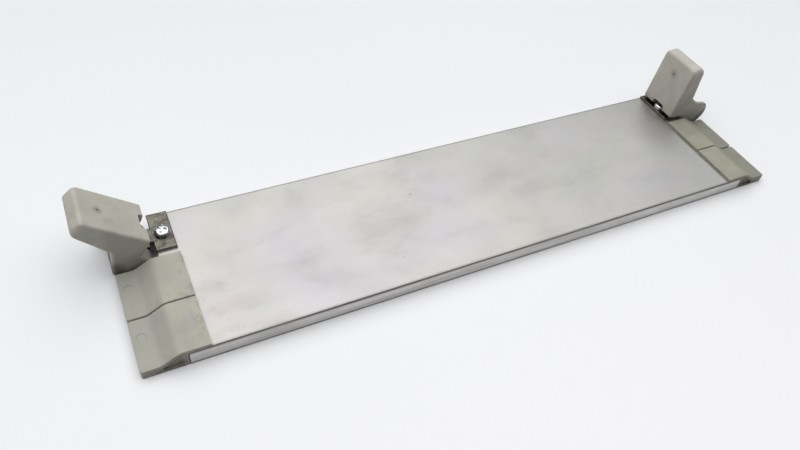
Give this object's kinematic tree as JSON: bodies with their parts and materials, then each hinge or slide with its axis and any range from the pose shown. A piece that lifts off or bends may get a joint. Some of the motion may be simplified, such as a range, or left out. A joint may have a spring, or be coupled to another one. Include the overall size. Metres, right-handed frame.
{
  "type": "rack front panel",
  "caption": "Blank card-rack front panel: flat aluminium channel with stepped plastic end caps and a hinged injector lever beside a screwed metal bracket at each end.",
  "frame": {"origin": "centre of the panel's flat aluminium face", "axes": "+Z out of the face, +X along the length towards the closed lever, +Y across the width towards the levers"},
  "size_m": [0.2712, 0.0606, 0.033],
  "materials": {
    "panel_aluminium": "satin, clear passivated, faintly stained",
    "cap_plastic": "fine moulded texture, warm light grey",
    "plug_plastic": "fine moulded texture, warm light grey",
    "lever_plastic": "fine moulded texture, warm light grey, softly rounded",
    "bracket_nickel": "dull nickel plated sheet steel",
    "screw_zinc": "bright zinc plated",
    "fastener_steel": "bright zinc plated",
    "pin_steel": "ground steel"
  },
  "bodies": {
    "panel": {"front_panel": "panel_aluminium", "cap_left_middle": "cap_plastic", "cap_left_front": "cap_plastic", "cap_right_middle": "cap_plastic", "cap_right_front": "cap_plastic", "plug_left_middle": "plug_plastic", "plug_left_front": "plug_plastic", "plug_right_middle": "plug_plastic", "plug_right_front": "plug_plastic", "pivot_bracket_left": "bracket_nickel", "pivot_bracket_right": "bracket_nickel", "bracket_screw_left": "screw_zinc", "bracket_screw_right": "screw_zinc", "lock_washer_left": "fastener_steel", "lock_washer_right": "fastener_steel", "hex_nut_left": "fastener_steel", "hex_nut_right": "fastener_steel"},
    "left_lever": {"lever_left": "lever_plastic", "pivot_pin_left": "pin_steel"},
    "right_lever": {"lever_right": "lever_plastic", "pivot_pin_right": "pin_steel"}
  },
  "joints": [
    {"name": "left_lever_swing", "type": "hinge", "parent": "panel", "child": "left_lever", "pos_m": [-0.1201, 0.01996, -0.0035], "axis": [0, 1, 0], "range_deg": [0, 45]},
    {"name": "right_lever_swing", "type": "hinge", "parent": "panel", "child": "right_lever", "pos_m": [0.1201, 0.01996, -0.0035], "axis": [0, 1, 0], "range_deg": [0, 45]}
  ]
}
